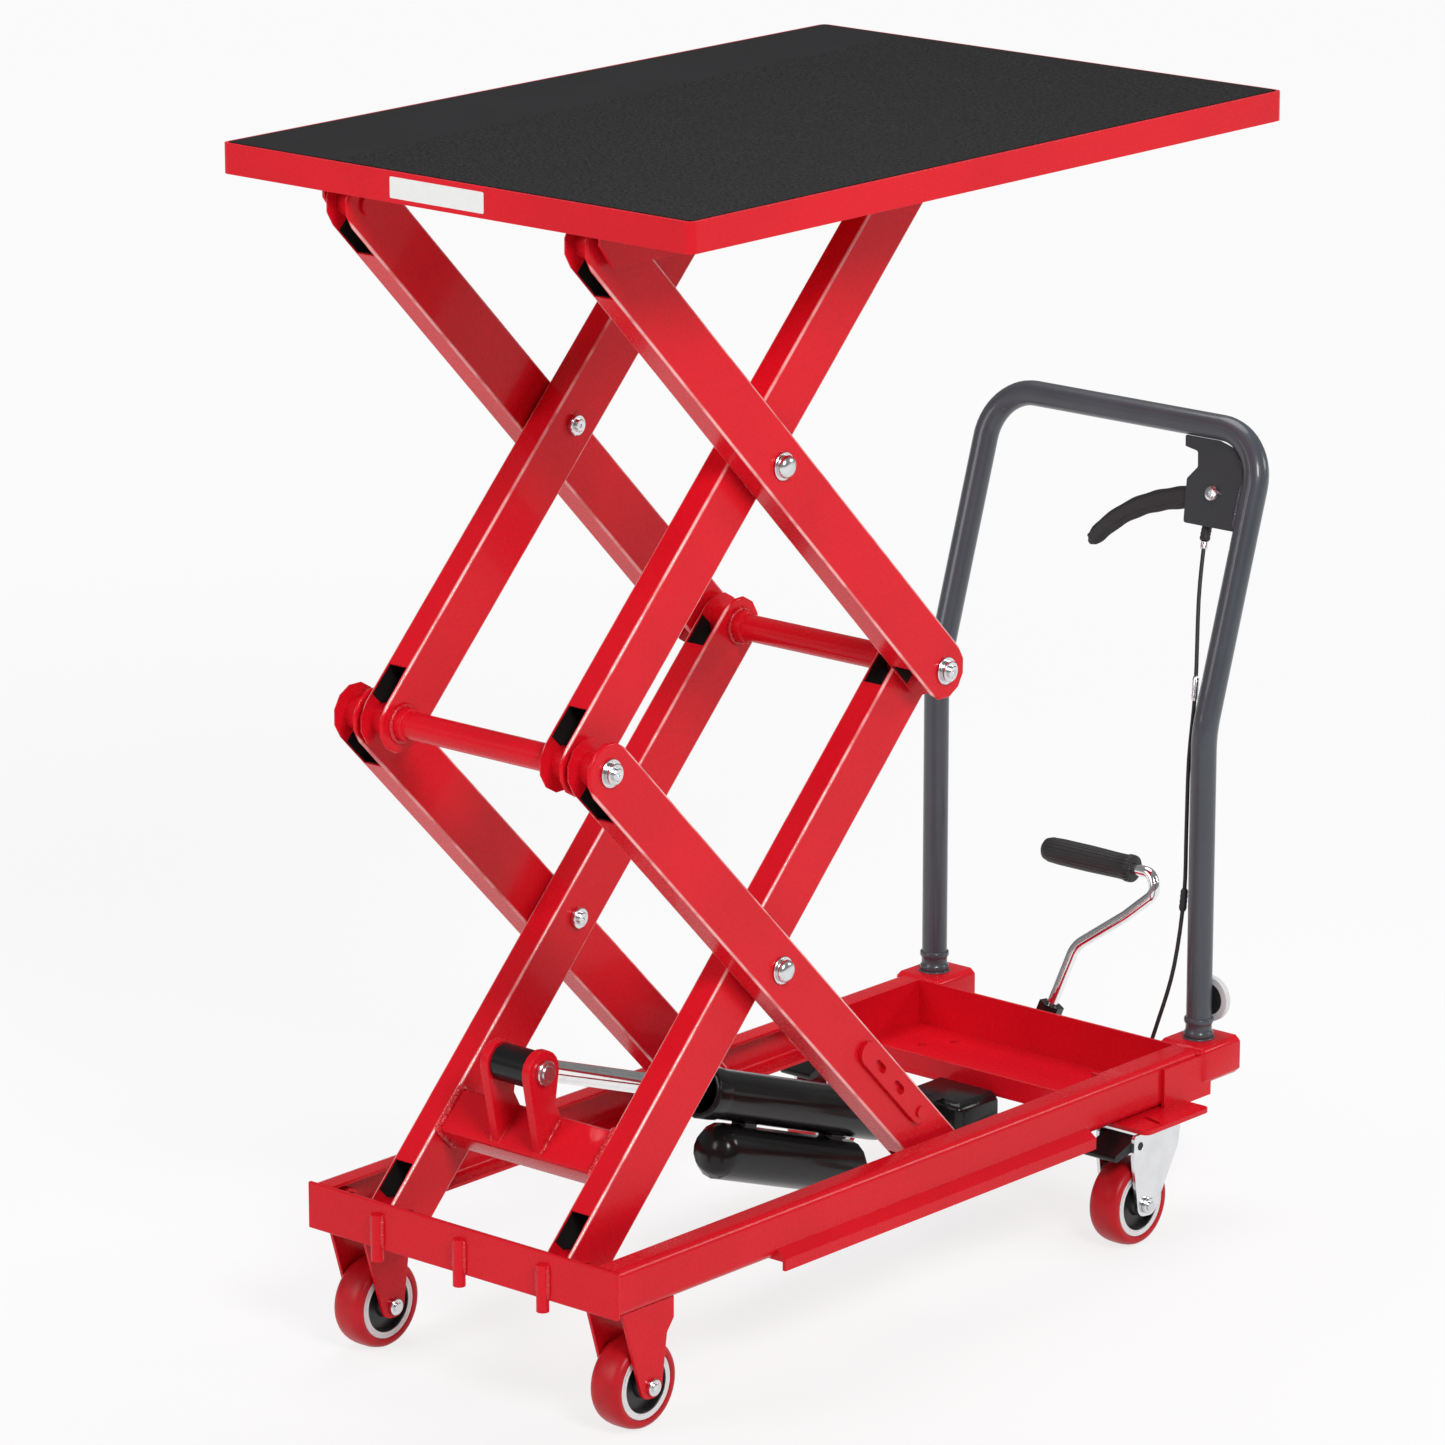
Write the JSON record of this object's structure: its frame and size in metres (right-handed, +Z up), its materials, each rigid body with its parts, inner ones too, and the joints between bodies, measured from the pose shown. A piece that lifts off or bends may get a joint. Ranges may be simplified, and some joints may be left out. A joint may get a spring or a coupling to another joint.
{
  "type": "scissor lift table",
  "caption": "Mobile scissor lift table: crossed box-tube arms raise a rubber-topped platform over a castered base with a foot pump, ram and push handle.",
  "frame": {"origin": "on the floor under the middle of the whole object, with the lift partly raised", "axes": "+Z up; +Y towards the push handle; +X to the right of someone who stands at the front and looks at the handle"},
  "size_m": [0.6, 1.0602, 1.2089],
  "materials": {
    "red_paint": "glossy red enamel",
    "red_polyurethane": "satin red tread",
    "slate_paint": "satin slate grey",
    "black_paint": "glossy black",
    "black_plastic": "moulded black",
    "black_rubber": "matt black, pebbled",
    "zinc_plate": "bright zinc",
    "chrome": "polished"
  },
  "bodies": {
    "base": {"front_beam": "red_paint", "side_rail_left": "red_paint", "side_rail_right": "red_paint", "rear_tray": "red_paint", "front_pivot_shaft": "zinc_plate", "front_fork_left": "red_paint", "front_fork_right": "red_paint", "front_axle_left": "zinc_plate", "front_axle_right": "zinc_plate", "handle_tube": "slate_paint", "lever_bracket": "slate_paint", "release_cable": "black_rubber", "pump_block": "black_paint", "bumper_disc": "black_rubber"},
    "lower_inner": {"lower_inner_arm_left": "red_paint", "lower_inner_arm_right": "red_paint", "rear_middle_tube": "red_paint", "lower_crossbar": "red_paint", "clevis_pin": "zinc_plate"},
    "lower_outer": {"lower_outer_arm_left": "red_paint", "lower_outer_arm_right": "red_paint", "lower_centre_bolt_left": "zinc_plate", "lower_centre_bolt_right": "zinc_plate", "front_middle_shaft": "zinc_plate"},
    "upper_inner": {"upper_inner_arm_left": "red_paint", "upper_inner_arm_right": "red_paint", "front_middle_tube": "red_paint"},
    "upper_outer": {"upper_outer_arm_left": "red_paint", "upper_outer_arm_right": "red_paint", "upper_centre_bolt_left": "zinc_plate", "upper_centre_bolt_right": "zinc_plate", "rear_middle_shaft": "zinc_plate"},
    "table": {"table_frame": "red_paint", "table_mat": "black_rubber"},
    "ram_barrel": {"ram_barrel": "black_paint"},
    "ram_rod": {"ram_rod": "chrome"},
    "pedal": {"pedal_arm": "black_paint", "pedal_rod": "chrome", "pedal_grip": "black_rubber"},
    "plunger": {"pump_plunger": "zinc_plate"},
    "release_lever": {"release_lever": "black_paint"},
    "safety_bar": {"safety_bar": "red_paint"},
    "front_wheel_left": {"front_wheel_left_tyre": "red_polyurethane", "front_wheel_left_hub": "black_plastic"},
    "rear_caster_left": {"rear_fork_left": "zinc_plate", "rear_axle_left": "zinc_plate"},
    "rear_wheel_left": {"rear_wheel_left_tyre": "red_polyurethane", "rear_wheel_left_hub": "black_plastic"},
    "brake_left": {"brake_pedal_left": "black_paint"},
    "rail_roller_left": {"rail_roller_left": "zinc_plate"},
    "guide_roller_left": {"guide_roller_left": "zinc_plate"},
    "front_wheel_right": {"front_wheel_right_tyre": "red_polyurethane", "front_wheel_right_hub": "black_plastic"},
    "rear_caster_right": {"rear_fork_right": "zinc_plate", "rear_axle_right": "zinc_plate"},
    "rear_wheel_right": {"rear_wheel_right_tyre": "red_polyurethane", "rear_wheel_right_hub": "black_plastic"},
    "brake_right": {"brake_pedal_right": "black_paint"},
    "rail_roller_right": {"rail_roller_right": "zinc_plate"},
    "guide_roller_right": {"guide_roller_right": "zinc_plate"}
  },
  "joints": [
    {"name": "lift", "type": "hinge", "parent": "base", "child": "lower_inner", "pos_m": [0, -0.48675, 0.155], "axis": [1, 0, 0], "range_deg": [-37.45, 8.55]},
    {"name": "lower_cross", "type": "hinge", "parent": "lower_inner", "child": "lower_outer", "pos_m": [0, -0.23841, 0.40727], "axis": [1, 0, 0], "range_deg": [-17.2, 75]},
    {"name": "front_middle", "type": "hinge", "parent": "lower_outer", "child": "upper_inner", "pos_m": [0, -0.48675, 0.65955], "axis": [1, 0, 0], "range_deg": [-75, 17.2]},
    {"name": "upper_cross", "type": "hinge", "parent": "upper_inner", "child": "upper_outer", "pos_m": [0, -0.23841, 0.91182], "axis": [1, 0, 0], "range_deg": [-17.2, 75]},
    {"name": "table_level", "type": "hinge", "parent": "upper_outer", "child": "table", "pos_m": [0, -0.48675, 1.1641], "axis": [1, 0, 0], "range_deg": [-37.5, 8.6]},
    {"name": "barrel_swing", "type": "hinge", "parent": "base", "child": "ram_barrel", "pos_m": [0, 0.14575, 0.12], "axis": [1, 0, 0], "range_deg": [-0.7, 2.7]},
    {"name": "rod_swing", "type": "hinge", "parent": "lower_inner", "child": "ram_rod", "pos_m": [0, -0.43503, 0.32158], "axis": [1, 0, 0], "range_deg": [-9.3, 40.3]},
    {"name": "pedal_press", "type": "hinge", "parent": "base", "child": "pedal", "pos_m": [-0.0405, 0.20375, 0.105], "axis": [1, 0, 0], "range_deg": [-16, 0], "stiffness_Nm_per_rad": 6, "springref_deg": 28.65},
    {"name": "plunger_stroke", "type": "slide", "parent": "base", "child": "plunger", "axis": [0, 0, 1], "range_m": [-0.0116, 0]},
    {"name": "release_squeeze", "type": "hinge", "parent": "base", "child": "release_lever", "pos_m": [0.1306, 0.50287, 0.7433], "axis": [0, 0.9524, -0.3048], "range_deg": [0, 20], "stiffness_Nm_per_rad": 0.5, "springref_deg": -11.46},
    {"name": "safety_bar_swing", "type": "hinge", "parent": "lower_outer", "child": "safety_bar", "pos_m": [0.17015, -0.03065, 0.21047], "axis": [1, 0, 0], "range_deg": [-60, 0]},
    {"name": "front_wheel_left_spin", "type": "hinge", "parent": "base", "child": "front_wheel_left", "pos_m": [-0.1715, -0.46276, 0.046], "axis": [1, 0, 0], "continuous": true},
    {"name": "rear_caster_left_swivel", "type": "hinge", "parent": "base", "child": "rear_caster_left", "pos_m": [-0.206, 0.30075, 0.126], "axis": [0, 0, 1], "continuous": true},
    {"name": "rear_wheel_left_spin", "type": "hinge", "parent": "rear_caster_left", "child": "rear_wheel_left", "pos_m": [-0.206, 0.26876, 0.046], "axis": [1, 0, 0], "continuous": true},
    {"name": "brake_left_press", "type": "hinge", "parent": "rear_caster_left", "child": "brake_left", "pos_m": [-0.206, 0.25676, 0.1132], "axis": [1, 0, 0], "range_deg": [0, 12]},
    {"name": "rail_roller_left_spin", "type": "hinge", "parent": "lower_outer", "child": "rail_roller_left", "pos_m": [-0.182, 0.00993, 0.155], "axis": [1, 0, 0], "continuous": true},
    {"name": "guide_roller_left_spin", "type": "hinge", "parent": "upper_inner", "child": "guide_roller_left", "pos_m": [-0.1465, 0.00993, 1.1641], "axis": [1, 0, 0], "continuous": true},
    {"name": "front_wheel_right_spin", "type": "hinge", "parent": "base", "child": "front_wheel_right", "pos_m": [0.1715, -0.46276, 0.046], "axis": [1, 0, 0], "continuous": true},
    {"name": "rear_caster_right_swivel", "type": "hinge", "parent": "base", "child": "rear_caster_right", "pos_m": [0.206, 0.30075, 0.126], "axis": [0, 0, 1], "continuous": true},
    {"name": "rear_wheel_right_spin", "type": "hinge", "parent": "rear_caster_right", "child": "rear_wheel_right", "pos_m": [0.206, 0.26876, 0.046], "axis": [1, 0, 0], "continuous": true},
    {"name": "brake_right_press", "type": "hinge", "parent": "rear_caster_right", "child": "brake_right", "pos_m": [0.206, 0.25676, 0.1132], "axis": [1, 0, 0], "range_deg": [0, 12]},
    {"name": "rail_roller_right_spin", "type": "hinge", "parent": "lower_outer", "child": "rail_roller_right", "pos_m": [0.182, 0.00993, 0.155], "axis": [1, 0, 0], "continuous": true},
    {"name": "guide_roller_right_spin", "type": "hinge", "parent": "upper_inner", "child": "guide_roller_right", "pos_m": [0.1465, 0.00993, 1.1641], "axis": [1, 0, 0], "continuous": true}
  ],
  "couplings": [
    {"joint": "lower_cross", "follows": "lift", "ratio": -2},
    {"joint": "front_middle", "follows": "lift", "ratio": 2},
    {"joint": "upper_cross", "follows": "lift", "ratio": -2},
    {"joint": "table_level", "follows": "lift", "ratio": 1},
    {"joint": "barrel_swing", "follows": "lift", "ratio": -0.07},
    {"joint": "rod_swing", "follows": "lift", "ratio": -1.07},
    {"joint": "plunger_stroke", "follows": "pedal_press", "m_per_rad": 0.041}
  ]
}
